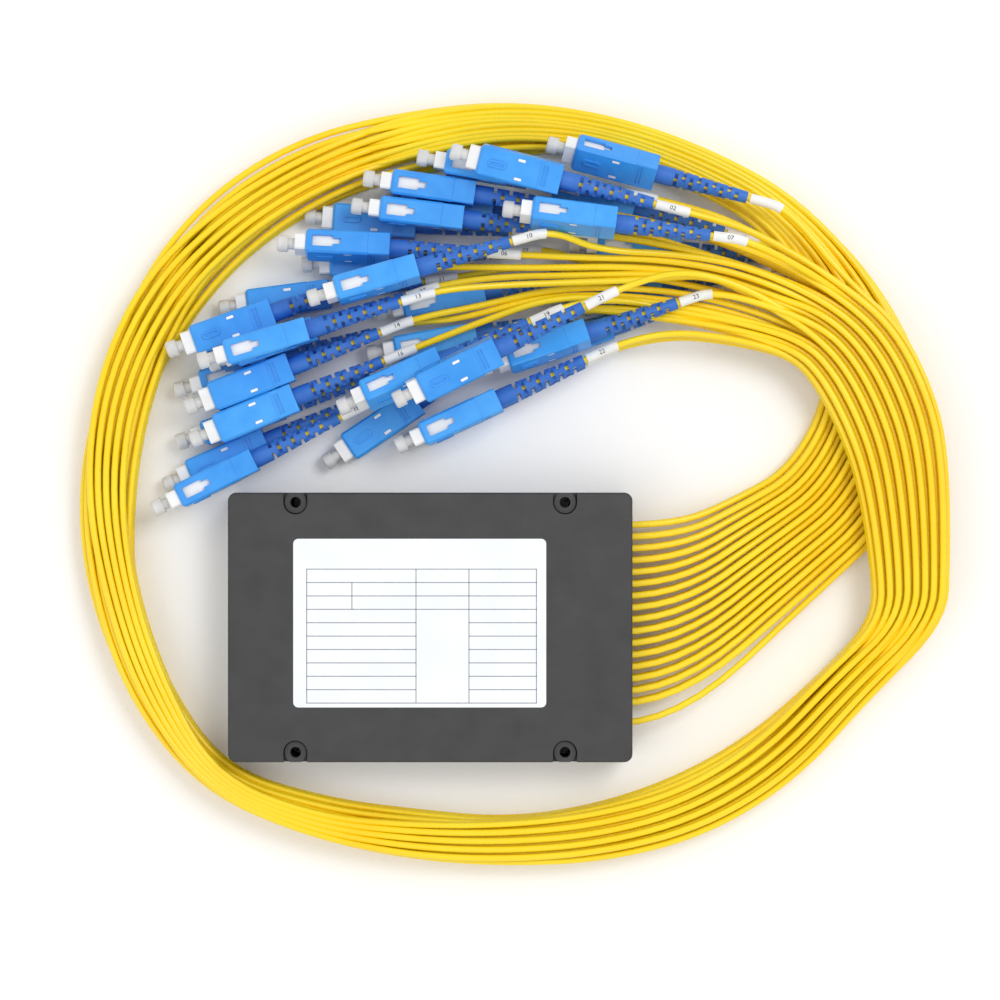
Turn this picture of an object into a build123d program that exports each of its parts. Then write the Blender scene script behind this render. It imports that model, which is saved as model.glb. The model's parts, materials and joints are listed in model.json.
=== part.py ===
from build123d import *
from math import cos, pi, radians, sin, tan
import os

# A 1 to 32 fibre splitter in a flat plastic box. Its 33 leads make one loose turn on the table and end
# in a heap of SC connectors. Millimetres, +Z up. The origin is the centre of the box's underside,
# +X points to the lead exits.

# Box
box_length = 120.0
box_width = 80.0
box_height = 18.0
box_wall = 2.0
box_floor = 2.0
box_corner = 2.5
lid_thickness = 3.0
lid_edge = 0.4
lip_depth = 1.4
lip_thickness = 1.2
seat_gap = 0.2
foot_edge = 0.6
overrun = 1.0

# Screw bosses and the lid's notches
screw_spacing_x = 80.0
screw_spacing_y = 74.2
screw_hole_d = 3.2
boss_d = 6.6
boss_drop = 1.2
notch_gap = 0.25

# Snap tabs of the lid
tab_centres_x = (-20.0, 20.0)
tab_width = 8.0
tab_length = 5.0
hook_reach = 0.6
hook_height = 1.3

# Label
label_length = 75.0
label_width = 50.0
label_thickness = 0.1
label_corner = 1.5
label_x = -3.1
label_y = 1.3

# Lead exits
lead_d = 2.0
lead_gap = 0.1
exit_pitch = 3.55
exit_columns = 16
exit_centre_y = 3.7
exit_row_z = (5.5, 11.0)
input_y = -28.8
comb_thickness = 2.8
comb_margin = 4.0
comb_gap = 0.05
lead_start_inset = 4.0

# Splitter inside the box
sleeve_length = 50.0
sleeve_width = 7.0
sleeve_height = 4.0
sleeve_wall = 0.4
sleeve_x = -5.0
sleeve_y = -8.0
pad_thickness = 1.0
plug_depth = 2.0
plug_gap = 0.1
chip_length = 18.0
chip_width = 4.4
chip_thickness = 1.6
fibre_block_length = 8.0
ribbon_count = 4
ribbon_width = 2.1
ribbon_thickness = 0.25
ribbon_spread = 10.5
fibre_d = 0.9
ribbon_lift = 1.0
ribbon_end_gap = 1.0
input_fibre_way = [(30.0, -31.0, 9.0), (-8.0, -31.5, 6.0), (-44.0, -28.0, 5.0), (-50.0, -14.0, 5.0)]

# Coil of leads: a loose ring. Each station has a point of the outer edge and one of the inner edge
coil_stations = [
    (153.5, 41.5, 131.0, 41.5),
    (147.0, 85.0, 123.0, 80.0),
    (133.0, 110.0, 115.0, 97.5),
    (111.5, 130.5, 100.5, 119.0),
    (82.5, 145.5, 75.0, 132.0),
    (53.0, 154.5, 49.5, 141.0),
    (22.5, 158.5, 22.5, 143.5),
    (-8.0, 156.0, -3.0, 139.0),
    (-38.5, 147.0, -28.0, 130.5),
    (-66.5, 130.5, -51.5, 115.5),
    (-89.0, 106.0, -69.5, 96.0),
    (-102.0, 75.0, -83.0, 69.5),
    (-108.0, 41.5, -88.5, 41.5),
    (-103.5, 7.5, -87.0, 12.0),
    (-90.5, -24.0, -77.0, -16.0),
    (-68.5, -50.0, -61.0, -41.5),
    (-38.5, -64.5, -31.0, -52.0),
    (-8.0, -73.5, -3.5, -56.0),
    (22.5, -75.5, 22.5, -57.0),
    (53.0, -72.0, 47.5, -52.0),
    (83.0, -63.0, 71.5, -43.5),
    (110.5, -46.5, 94.5, -30.5),
    (133.5, -22.5, 116.0, -12.0),
    (148.0, 8.0, 130.0, 12.5),
]
coil_layers = 4
layer_step = 2.1
floor_gap = 0.05
coil_edge = 2.5

# SC connector, with +X from the grip's front edge to the lead
grip_length = 25.0
grip_width = 9.0
grip_height = 7.4
grip_edge = 0.6
grip_bevel = 0.7
grip_rear_wall = 3.0
key_start = 3.0
key_length = 5.5
key_width = 2.2
key_height = 0.35
key_slot_width = 0.9
key_slot_wall = 0.65
key_slot_floor = 0.05
mark_length = 2.3
mark_width = 0.9
mark_depth = 0.25
mark_inset = 1.7
mark_centre = 12.6
window_start = 2.2
window_length = 6.0
window_height = 3.4
window_tip_length = 2.2
window_tip_height = 1.8
rear_step_length = 6.5
rear_step_depth = 0.15
rib_depth = 0.2
rib_width = 0.5
rib_inset = 1.5
frame_width = 6.8
frame_height = 4.9
frame_reach = 3.2
frame_edge = 0.45
frame_gap = 0.2
frame_bore_d = 4.0
frame_nose_bore_d = 3.6
frame_nose_depth = 6.0
ferrule_d = 2.5
ferrule_reach = 6.6
ferrule_length = 10.5
ferrule_edge = 0.3
flange_d = 3.8
flange_length = 2.5
cap_d = 5.0
cap_neck_d = 3.4
cap_reach = 8.6
cap_head_length = 3.2
cap_neck_depth = 2.6
cap_wall = 0.5
cap_fit = 0.04
cap_edge = 0.8
crimp_body_d = 3.8
crimp_body_start = 9.0
crimp_collar_d = 5.0
crimp_collar_length = 1.2
crimp_post_d = 3.0
crimp_post_end = 27.0
crimp_ring_d = 3.7
crimp_ring_length = 5.0
ring_gap = 0.1
part_overlap = 0.1
boot_front_d = 5.6
boot_rear_d = 3.5
boot_start = 23.0
boot_shoulder = 29.0
boot_end = 53.0
boot_slot_count = 9
boot_slot_width = 1.1
boot_slot_inset = 2.0
boot_slot_margin = 1.0
boot_slot_floor = 0.2
boot_gap = 0.2
sleeve_start = 54.0
number_sleeve_length = 10.0
number_sleeve_d = 3.0

# Heap of connectors: front x, front y, heading and roll in degrees, lowest z, strand lane and layer
# pair, lift of the lead behind the boot, and the tail's way points between sleeve and strand
low = 0.0
middle = 9.3
upper = 18.6
heap = [
    (43.0, 141.5, -15.0, 45, middle, 16, 1, 0, []),
    (4.5, 138.5, -10.0, 90, middle, 15, 0, 0, [(92, 120.5, 14)]),
    (14.5, 138.5, -14.5, 12, upper, 15, 1, 0, [(97, 117.5, 17)]),
    (-11.5, 132.5, -8.2, 90, middle, 13, 1, 0, [(74, 119, 13), (100, 111, 14)]),
    (-29.5, 122.6, -4.0, 0, low, 12, 0, 0, [(52, 119.8, 9.3), (66, 116.5, 10.8), (86, 110, 10.6)]),
    (-15.0, 124.5, -6.7, 90, middle, 12, 1, 0, [(66, 114.5, 14), (90, 109, 14)]),
    (-37.0, 113.8, -2.7, 75, middle, 10, 1, 0, [(45, 110, 14.5), (70, 109.5, 14.5), (94, 105, 14.5)]),
    (30.0, 122.5, -7.4, 70, upper, 14, 1, 0, []),
    (37.0, 132.5, -15.5, 90, low, 14, 0, 0, [(111, 111.5, 8.5)]),
    (-30.5, 109.3, 3.5, 180, low, 10, 0, 0, [(46, 108.8, 9), (66, 108.3, 10), (92, 104, 10)]),
    (-27.5, 99.2, 15.8, 80, 20.4, 11, 1, 0, [(50, 111.8, 17.5), (74, 111, 15), (96, 107, 15)]),
    (-55.3, 96.5, 7.6, 180, low, 6, 0, 0, [(26, 107.8, 9.6), (50, 106.5, 10), (74, 103, 10), (95, 98, 10)]),
    (-70.5, 85.2, 19.5, 0, middle, 9, 1, 0,
     [(9, 107.3, 12.5), (32, 107, 13), (60, 107.5, 13.5), (84, 105, 13.5), (101, 99, 13.5)]),
    (-60.0, 81.0, 16.5, 90, upper, 5, 1, 0,
     [(20, 101.5, 18), (42, 102.5, 15), (66, 103.5, 14), (84, 105, 14), (100, 96, 14)]),
    (-65.0, 68.4, 21.2, 180, middle, 5, 0, 0,
     [(16, 96, 11), (36, 101, 10.5), (62, 101.5, 10.5), (88, 97.5, 10.5)]),
    (-69.0, 73.0, 16.2, 90, low, 4, 0, 0, [(9, 91.8, 10.6), (34, 99, 10.3), (60, 99, 10), (86, 95.5, 10)]),
    (-63.5, 58.8, 22.4, 180, middle, 4, 1, 0,
     [(14, 90.5, 12.5), (36, 98.5, 12.5), (58, 98, 11.3), (80, 95, 11)]),
    (-72.5, 45.4, 23.5, 0, low, 1, 1, 0,
     [(0, 77, 8), (12, 82.2, 11.5), (28, 91.5, 11), (50, 96, 10.4), (70, 93.5, 10.4), (91, 88, 11)]),
    (-75.0, 38.8, 26.3, 90, 7.5, 2, 1, 0,
     [(-3, 74.5, 11.5), (10, 80.6, 12), (26, 90.3, 11), (48, 95.5, 10.4), (68, 92.5, 10.4), (90, 89, 12)]),
    (-19.3, 68.4, 24.2, 65, 14.6, 3, 1, 0, [(56, 98, 12.5), (74, 94.2, 10.2), (92, 91, 12)]),
    (-25.0, 53.6, 33.7, 0, low, 2, 0, 6.5, [(42, 95.5, 10.6), (64, 93, 10.4), (88, 89, 10)]),
    (-2.5, 70.5, 26.5, 12, 26.2, 6, 1, 0, [(74, 106, 20), (92, 102, 16.5)]),
    (-2.5, 57.3, 24.7, 90, middle, 0, 1, 0, [(72, 88, 13), (90, 86, 13.5)]),
    (23.0, 79.6, 18.4, 75, middle, 7, 1, 0, []),
    (-8.5, 95.8, 11.2, 90, low, 8, 0, 0, [(69, 108.6, 9.8), (90, 104, 9.8)]),
    (-11.0, 83.2, 10.2, 90, low, 3, 0, 0, [(64, 96.3, 10.4), (82, 92, 10)]),
    (44.5, 99.7, 7.0, 0, low, 9, 0, 0, []),
    (-58.0, 80.8, 19.0, 90, middle, 8, 1, 0,
     [(22, 104.5, 12), (44, 104.8, 12.5), (66, 105.3, 13.5), (86, 104, 13.5), (102, 97, 13.5)]),
    (50.0, 114.3, -3.6, 90, low, 11, 0, 0, []),
    (30.4, 81.8, 18.4, 90, low, 7, 0, 0, []),
    (-2.5, 57.3, 24.2, 90, low, 0, 0, 0, [(74, 87, 9), (91, 85, 9.4)]),
    (-6.0, 129.8, -8.0, 90, low, 13, 0, 0, [(72, 119.3, 4.8), (90, 114, 9.3), (106, 106, 9.6)]),
    (-68.5, 57.7, 18.5, 90, low, 1, 0, 0,
     [(6, 80.5, 10.6), (20, 88.3, 10.8), (42, 95.5, 10.3), (64, 94, 10.3), (86, 89, 10)]),
]
lead_tail_straight = 66.0
lead_end_gap = 1.0
lift_inset = 2.0
turn_share = 0.45
middle_lane = 8

# Stations of the strand: centre x, centre y, heading in degrees, lane pitch
fan_straight_x = 74.0
fan_stations = [
    (104.0, 24.0, 40.0, 2.3),
    (123.5, 39.0, 62.0, 2.15),
    (136.0, 67.5, 86.0, 2.0),
    (126.6, 97.5, 122.0, 1.2),
]
return_stations = [
    (143.1, 2.0, 88.0, 1.25),
    (143.1, 19.9, 92.0, 1.35),
    (141.0, 45.0, 98.0, 1.6),
    (137.0, 62.0, 107.0, 1.8),
    (128.0, 80.5, 125.0, 1.85),
    (115.0, 92.7, 145.0, 1.75),
]
return_start_z = 8.6
return_rise = 4.0
strand_edge_lanes = 0.6
strand_end = (116.0, 92.0, 145.0, 1.7)

# Sizes that follow from those above
lid_bottom = box_height - lid_thickness
comb_front = box_length / 2
coil_height = coil_layers * layer_step
frame_end = grip_length - grip_rear_wall - 2 * frame_gap
strand_bottom_z = return_start_z + lead_d / 2 + lead_gap


# Helpers

def block(x_low, x_high, y_low, y_high, z_low, z_high):
    size = Box(x_high - x_low, y_high - y_low, z_high - z_low, align=(Align.MIN, Align.MIN, Align.MIN))
    return Pos(x_low, y_low, z_low) * size


def rod(diameter, x_low, x_high):
    return Pos(x_low, 0, 0) * Rot(0, 90, 0) * post(diameter, x_high - x_low)


def post(diameter, height):
    return Cylinder(diameter / 2, height, align=(Align.CENTER, Align.CENTER, Align.MIN))


def rounded_plate(length, width, corner, z_low, z_high):
    outline = RectangleRounded(length, width, corner)
    return Pos(0, 0, z_low) * extrude(outline, z_high - z_low)


def write(name, shape):
    shape.label = name
    export_step(shape, f"parts/{name}.step")
    print(f"{name}: {len(shape.solids())} solids, {shape.volume:.0f} mm3")


def group(solids):
    return Compound(children=list(solids))


# Box pieces

def screw_places():
    for side_x in (-1, 1):
        for side_y in (-1, 1):
            yield side_x * screw_spacing_x / 2, side_y * screw_spacing_y / 2


def make_base_shell():
    shell = rounded_plate(box_length, box_width, box_corner, 0, lid_bottom)
    shell = chamfer(shell.faces().sort_by(Axis.Z)[0].edges(), foot_edge)
    inside = box_length / 2 - box_wall
    inside_y = box_width / 2 - box_wall
    shell -= block(-inside, inside, -inside_y, inside_y, box_floor, box_height)
    outline = rounded_plate(box_length, box_width, box_corner, 0, box_height)
    for x, y in screw_places():
        shell += (Pos(x, y, 0) * post(boss_d, box_height - boss_drop)) & outline
    for x, y in screw_places():
        shell -= Pos(x, y, box_height / 2) * Cylinder(screw_hole_d / 2, 2 * box_height)
    y_low, y_high = comb_span()
    slot_low = y_low - comb_gap
    slot_high = y_high + comb_gap
    shell -= block(inside - overrun, comb_front + overrun, slot_low, slot_high, box_floor, box_height)
    pocket_depth = 2 * (hook_reach + 2 * seat_gap)
    for x in tab_centres_x:
        for side in (-1, 1):
            pocket = Box(tab_width + 4 * seat_gap, pocket_depth, hook_height + 2 * seat_gap)
            shell -= Pos(x, side * inside_y, hook_centre_z()) * pocket
    return shell


def hook_centre_z():
    return lid_bottom - tab_length + hook_height / 2


def comb_span():
    top = exit_centre_y + (exit_columns - 1) / 2 * exit_pitch + comb_margin / 2 + lead_d / 2
    return input_y - comb_margin, top


def make_lid():
    lid = rounded_plate(box_length, box_width, box_corner, lid_bottom, box_height)
    lid = chamfer(lid.faces().sort_by(Axis.Z)[-1].edges(), lid_edge)
    lip_x = box_length / 2 - box_wall - seat_gap
    lip_y = box_width / 2 - box_wall - seat_gap
    lip = block(-lip_x, lip_x, -lip_y, lip_y, lid_bottom - lip_depth, lid_bottom)
    hollow_x = lip_x - lip_thickness
    hollow_y = lip_y - lip_thickness
    lip -= block(-hollow_x, hollow_x, -hollow_y, hollow_y, lid_bottom - lip_depth, lid_bottom)
    y_low, y_high = comb_span()
    lip -= block(lip_x - lip_thickness, lip_x, y_low - seat_gap, y_high + seat_gap, 0, lid_bottom)
    lid += lip
    for x in tab_centres_x:
        for side in (-1, 1):
            tab_y = side * (lip_y - lip_thickness / 2)
            lid += Pos(x, tab_y, lid_bottom - tab_length / 2) * Box(tab_width, lip_thickness, tab_length)
            hook_y = tab_y + side * hook_reach / 2
            lid += Pos(x, hook_y, hook_centre_z()) * Box(tab_width, lip_thickness + hook_reach, hook_height)
    for x, y in screw_places():
        notch_r = boss_d / 2 + notch_gap
        edge_y = box_width if y > 0 else -box_width
        lid -= Pos(x, y, box_height / 2) * Cylinder(notch_r, 2 * box_height)
        lid -= block(x - notch_r, x + notch_r, min(y, edge_y), max(y, edge_y), 0, 2 * box_height)
    return lid


def make_label():
    top = box_height + label_thickness
    plate = rounded_plate(label_length, label_width, label_corner, box_height, top)
    return Pos(label_x, label_y, 0) * plate


def exit_places():
    for row, z in enumerate(exit_row_z):
        for column in range(exit_columns):
            yield column, row, lane_offset(column, exit_pitch) + exit_centre_y, z


def lane_offset(column, pitch):
    return ((exit_columns - 1) / 2 - column) * pitch


def make_exit_comb():
    y_low, y_high = comb_span()
    back = comb_front - comb_thickness
    comb = block(back, comb_front, y_low, y_high, box_floor + comb_gap, lid_bottom - comb_gap)
    hole_d = lead_d + 2 * lead_gap
    holes = [(y, z) for column, row, y, z in exit_places()] + [(input_y, exit_row_z[1])]
    for y, z in holes:
        comb -= Pos(0, y, z) * rod(hole_d, back - overrun, comb_front + overrun)
    return comb


# Splitter pieces

def make_splitter_sleeve():
    bottom = box_floor + pad_thickness
    outer = Box(sleeve_length, sleeve_width, sleeve_height)
    outer = fillet(outer.edges().filter_by(Axis.X), 2 * sleeve_wall)
    inner = Box(2 * sleeve_length, sleeve_width - 2 * sleeve_wall, sleeve_height - 2 * sleeve_wall)
    return Pos(sleeve_x, sleeve_y, bottom + sleeve_height / 2) * (outer - inner)


def make_end_plugs():
    width = sleeve_width - 2 * sleeve_wall - 2 * plug_gap
    height = sleeve_height - 2 * sleeve_wall - 2 * plug_gap
    z = box_floor + pad_thickness + sleeve_height / 2
    plugs = []
    for side in (-1, 1):
        x = sleeve_x + side * (sleeve_length / 2 - plug_depth / 2)
        plugs.append(Pos(x, sleeve_y, z) * Box(plug_depth, width, height))
    return group(plugs)


def chip_centre_z():
    return box_floor + pad_thickness + sleeve_wall + plug_gap + chip_thickness / 2


def make_plc_chip():
    return Pos(sleeve_x, sleeve_y, chip_centre_z()) * Box(chip_length, chip_width, chip_thickness)


def make_fibre_block(side):
    x = sleeve_x + side * (chip_length / 2 + fibre_block_length / 2)
    return Pos(x, sleeve_y, chip_centre_z()) * Box(fibre_block_length, chip_width, chip_thickness)


def make_adhesive_pad():
    pad = Box(sleeve_length - plug_depth, sleeve_width - 2 * sleeve_wall, pad_thickness)
    return Pos(sleeve_x, sleeve_y, box_floor + pad_thickness / 2) * pad


def make_output_ribbons():
    start_x = sleeve_x + sleeve_length / 2 + 2 * plug_gap
    end_x = comb_front - lead_start_inset - ribbon_end_gap
    ribbons = []
    for ribbon in range(ribbon_count):
        z = box_floor + pad_thickness + ribbon_lift + ribbon * 2 * ribbon_thickness
        ribbon_pitch = exit_pitch * exit_columns / ribbon_count
        end_y = exit_centre_y + ((ribbon_count - 1) / 2 - ribbon) * ribbon_pitch
        outline = Polyline(
            (start_x, sleeve_y - ribbon_width / 2), (end_x, end_y - ribbon_spread / 2),
            (end_x, end_y + ribbon_spread / 2), (start_x, sleeve_y + ribbon_width / 2), close=True)
        ribbons.append(Pos(0, 0, z) * extrude(make_face(outline), ribbon_thickness))
    return group(ribbons)


def make_input_fibre():
    z = box_floor + pad_thickness + sleeve_height / 2
    start_x = comb_front - lead_start_inset - plug_gap
    points = [
        (start_x, input_y, exit_row_z[1]),
        *input_fibre_way,
        (sleeve_x - sleeve_length / 2 - plug_gap, sleeve_y, z),
    ]
    return tube_along(points, fibre_d, "input fibre")


# Leads

def turn_radii(points):
    radii = []
    for before, here, after in zip(points, points[1:], points[2:]):
        run_in = Vector(*here) - Vector(*before)
        run_out = Vector(*after) - Vector(*here)
        turn = radians(run_in.get_angle(run_out))
        reach = turn_share * min(run_in.length, run_out.length)
        radii.append(reach / tan(turn / 2))
    return radii


def tube_along(points, diameter, name):
    radii = turn_radii(points)
    route = FilletPolyline(*points, radius=radii)
    profile = Plane(route @ 0, z_dir=route % 0) * Circle(diameter / 2)
    tube = sweep(profile, path=route)
    section = pi * (diameter / 2) ** 2
    ratio = tube.volume / (section * route.length)
    print(f"{name}: length {route.length:.0f}, least radius {min(radii):.1f}, volume ratio {ratio:.3f}")
    return tube


def lane_point(station, lane, z):
    x, y, heading, pitch = station
    offset = (lane - middle_lane) * pitch
    return x + offset * sin(radians(heading)), y - offset * cos(radians(heading)), z


def layer_z(lane, row):
    return floor_gap + lead_d / 2 + layer_step * (2 * row + lane % 2)


def exit_y(lane):
    if lane == exit_columns:
        return input_y
    return exit_centre_y + lane_offset(lane, exit_pitch)


def make_fan_lead(lane, row):
    start_x = comb_front - lead_start_inset
    points = [(x, exit_y(lane), exit_row_z[row]) for x in (start_x, fan_straight_x)]
    points += [lane_point(station, lane, layer_z(lane, row)) for station in fan_stations]
    return tube_along(points, lead_d, f"fan lane {lane} row {row}")


def connector_place(entry):
    x, y, heading, roll, bottom = entry[:5]
    tilt = radians(roll)
    axis_z = bottom + (abs(cos(tilt)) * grip_height + abs(sin(tilt)) * grip_width) / 2
    axis_z += max(0, -cos(tilt)) * key_height
    return Pos(x, y, axis_z) * Rot(0, 0, heading) * Rot(roll, 0, 0)


def along(entry, distance, lift=0.0):
    place = connector_place(entry)
    point = (place * Pos(distance, 0, 0)).position
    return point.X, point.Y, point.Z + lift


def make_tail_lead(entry, name):
    lane, row, lift, way = entry[5:]
    strand_z = strand_bottom_z + layer_step * (2 * row + lane % 2)
    points = [along(entry, crimp_post_end + lead_end_gap)]
    if lift:
        points.append(along(entry, boot_end - lift_inset))
    points.append(along(entry, lead_tail_straight, lift))
    points += way
    points.append(lane_point(strand_end, lane, strand_z))
    return tube_along(points, lead_d, name)


def make_lead_coil():
    outer = make_face(Spline(*[station[:2] for station in coil_stations], periodic=True))
    inner = make_face(Spline(*[station[2:] for station in coil_stations], periodic=True))
    ring = extrude(outer, coil_height) - extrude(inner, coil_height)
    return chamfer(ring.edges(), coil_edge)


def make_return_strand():
    left = [lane_point(station, -strand_edge_lanes, 0)[:2] for station in return_stations]
    right = [lane_point(station, exit_columns + strand_edge_lanes, 0)[:2] for station in return_stations]
    inner_edge = Spline(*left)
    outer_edge = Spline(*right)
    outline = inner_edge + outer_edge + Line(left[0], right[0]) + Line(left[-1], right[-1])
    strand = Pos(0, 0, return_start_z) * extrude(make_face(outline), coil_height)
    upper_edges = strand.faces().sort_by(Axis.Z)[-1].edges()
    return chamfer(upper_edges, return_rise / 2)


# Connector pieces, each in the connector's own frame

def slot_shape(x_low, x_high, width, z_low, z_high):
    middle_x = (x_low + x_high) / 2
    return Pos(middle_x, 0, z_low) * extrude(SlotOverall(x_high - x_low, width), z_high - z_low)


def make_grip():
    half_y = grip_width / 2
    half_z = grip_height / 2
    body = block(0, grip_length, -half_y, half_y, -half_z, half_z)
    body = chamfer(body.edges().filter_by(Axis.X), grip_edge)
    body = chamfer(body.faces().sort_by(Axis.X)[0].edges(), grip_bevel)
    step_x = grip_length - rear_step_length
    core_y = half_y - rear_step_depth
    core_z = half_z - rear_step_depth
    band = block(step_x, grip_length + overrun, -grip_width, grip_width, -grip_height, grip_height)
    body -= band - block(step_x, grip_length + overrun, -core_y, core_y, -core_z, core_z)
    for rib in (1, 2):
        x = step_x + rib * 2 * rib_width
        for side in (-1, 1):
            groove = Box(rib_width, grip_width - 2 * rib_inset, 2 * rib_depth)
            body -= Pos(x, 0, side * core_z) * groove
    passage_y = frame_width / 2 + frame_gap
    passage_z = frame_height / 2 + frame_gap
    passage_end = grip_length - grip_rear_wall
    body -= block(-overrun, passage_end, -passage_y, passage_y, -passage_z, passage_z)
    body -= rod(boot_front_d + 2 * boot_gap, passage_end - overrun, grip_length + overrun)
    window_end = window_start + window_length
    tip_end = window_end + window_tip_length
    openings = [(window_start, window_end, window_height), (window_end, tip_end, window_tip_height)]
    for x_low, x_high, height in openings:
        body -= block(x_low - part_overlap, x_high, -grip_width, grip_width, -height / 2, height / 2)
    for face in (-1, 1):
        for side in (-1, 1):
            mark = Box(mark_length, mark_width, 2 * mark_depth)
            body -= Pos(mark_centre, side * (half_y - mark_inset), face * half_z) * mark
    key_end = key_start + key_length
    key = slot_shape(key_start, key_end, key_width, half_z - part_overlap, half_z + key_height)
    slot_start = key_start + key_slot_wall
    slot_end = key_end - key_slot_wall
    key -= slot_shape(slot_start, slot_end, key_slot_width, half_z + key_slot_floor, half_z + overrun)
    return body + key


def make_plug_frame():
    half_y = frame_width / 2
    half_z = frame_height / 2
    frame = block(-frame_reach, frame_end, -half_y, half_y, -half_z, half_z)
    frame = chamfer(frame.edges().filter_by(Axis.X), frame_edge)
    frame -= rod(frame_nose_bore_d, -frame_reach - overrun, frame_nose_depth)
    frame -= rod(frame_bore_d, frame_nose_depth - frame_reach, frame_end + overrun)
    return frame


def make_ferrule():
    pin = rod(ferrule_d, -ferrule_reach, ferrule_length - ferrule_reach)
    pin = chamfer(pin.faces().sort_by(Axis.X)[0].edges(), ferrule_edge)
    start = ferrule_length - ferrule_reach - part_overlap
    hexagon = Plane.YZ.offset(start) * RegularPolygon(flange_d / 2, 6)
    return pin + extrude(hexagon, flange_length)


def make_dust_cap():
    cap = rod(cap_neck_d, -cap_reach, cap_neck_depth - frame_reach)
    head = rod(cap_d, -cap_reach, -cap_reach + cap_head_length)
    head = fillet(head.faces().sort_by(Axis.X)[0].edges(), cap_edge)
    cap += head
    cap -= rod(ferrule_d + 2 * cap_fit, -ferrule_reach - cap_wall, cap_neck_depth)
    return cap


def make_crimp_body():
    collar_start = frame_end + ring_gap
    body = rod(crimp_body_d, crimp_body_start, collar_start)
    body += rod(crimp_collar_d, collar_start, collar_start + crimp_collar_length)
    body += rod(crimp_post_d, frame_end, crimp_post_end)
    return body - rod(fibre_d, crimp_body_start - overrun, crimp_post_end + overrun)


def make_crimp_ring():
    start = crimp_post_end - crimp_ring_length / 2
    ring = rod(crimp_ring_d, start, start + crimp_ring_length)
    return ring - rod(crimp_post_d + ring_gap, start - overrun, start + crimp_ring_length + overrun)


def make_boot():
    bore_r = lead_d / 2 + lead_gap / 2
    profile = Polyline(
        (boot_start, bore_r), (boot_start, boot_front_d / 2), (boot_shoulder, boot_front_d / 2),
        (boot_end, boot_rear_d / 2), (boot_end, bore_r), close=True)
    boot = revolve(Plane.XY * make_face(profile), Axis.X)
    ring_room = crimp_post_end + crimp_ring_length / 2 + 3 * ring_gap
    boot -= rod(crimp_ring_d + 2 * ring_gap, boot_start - overrun, ring_room)
    pitch = (boot_end - boot_shoulder - boot_slot_inset - boot_slot_margin) / boot_slot_count
    reach = bore_r - boot_slot_floor + boot_front_d / 2
    for slot in range(boot_slot_count):
        x = boot_shoulder + boot_slot_inset + slot * pitch
        for side in (-1, 1):
            cutter = Box(boot_slot_width, boot_front_d, boot_front_d)
            if slot % 2:
                boot -= Pos(x, side * reach, 0) * cutter
            else:
                boot -= Pos(x, 0, side * reach) * cutter
    return boot


def make_number_sleeve():
    tube = rod(number_sleeve_d, 0, number_sleeve_length)
    return tube - rod(lead_d + lead_gap, -overrun, number_sleeve_length + overrun)


def sleeve_place(entry):
    lift = entry[7]
    bend = boot_end - lift_inset
    start = Vector(*along(entry, bend))
    end = Vector(*along(entry, lead_tail_straight, lift))
    direction = (end - start).normalized()
    front = start + direction * (sleeve_start - bend)
    return Plane(front, x_dir=direction, z_dir=direction.cross(Vector(0, 1, 0)).normalized()).location


# Build

os.makedirs("parts", exist_ok=True)

write("base_shell", make_base_shell())
write("lid", make_lid())
write("spec_label", make_label())
write("exit_comb", make_exit_comb())
write("splitter_sleeve", make_splitter_sleeve())
write("sleeve_end_plugs", make_end_plugs())
write("plc_chip", make_plc_chip())
write("input_fibre_block", make_fibre_block(-1))
write("output_fibre_block", make_fibre_block(1))
write("output_ribbons", make_output_ribbons())
write("input_fibre", make_input_fibre())
write("adhesive_pad", make_adhesive_pad())

write("lead_coil", make_lead_coil())
write("return_strand", make_return_strand())
fan_lanes = [(column, row) for row in (0, 1) for column in range(exit_columns)]
write("output_lead_fan", group(make_fan_lead(column, row) for column, row in fan_lanes))
tails = [make_tail_lead(entry, f"tail {number}") for number, entry in enumerate(heap, start=1)]
write("input_lead", group([make_fan_lead(exit_columns, 1), tails[0]]))
write("output_lead_tails", group(tails[1:]))

places = [connector_place(entry) for entry in heap]
pieces = {
    "plug_frames": make_plug_frame(),
    "ferrules": make_ferrule(),
    "dust_caps": make_dust_cap(),
    "crimp_bodies": make_crimp_body(),
    "crimp_rings": make_crimp_ring(),
    "boots": make_boot(),
}
for piece_name, piece in pieces.items():
    write(piece_name, group(place * piece for place in places))
number_sleeve = make_number_sleeve()
write("number_sleeves", group(sleeve_place(entry) * number_sleeve for entry in heap))
grip = make_grip()
for number, place in enumerate(places, start=1):
    write(f"grip_{number:02d}", place * grip)
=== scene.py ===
# Looks of a boxed 1 to 32 fibre splitter: its yellow leads in one loose turn on the table, and the heap
# of blue SC connectors that they end in. Tables below are in millimetres, as in the part's source.
import json
from math import cos, radians, sin

import bmesh
import bpy
from mathutils import Matrix, Vector

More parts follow.
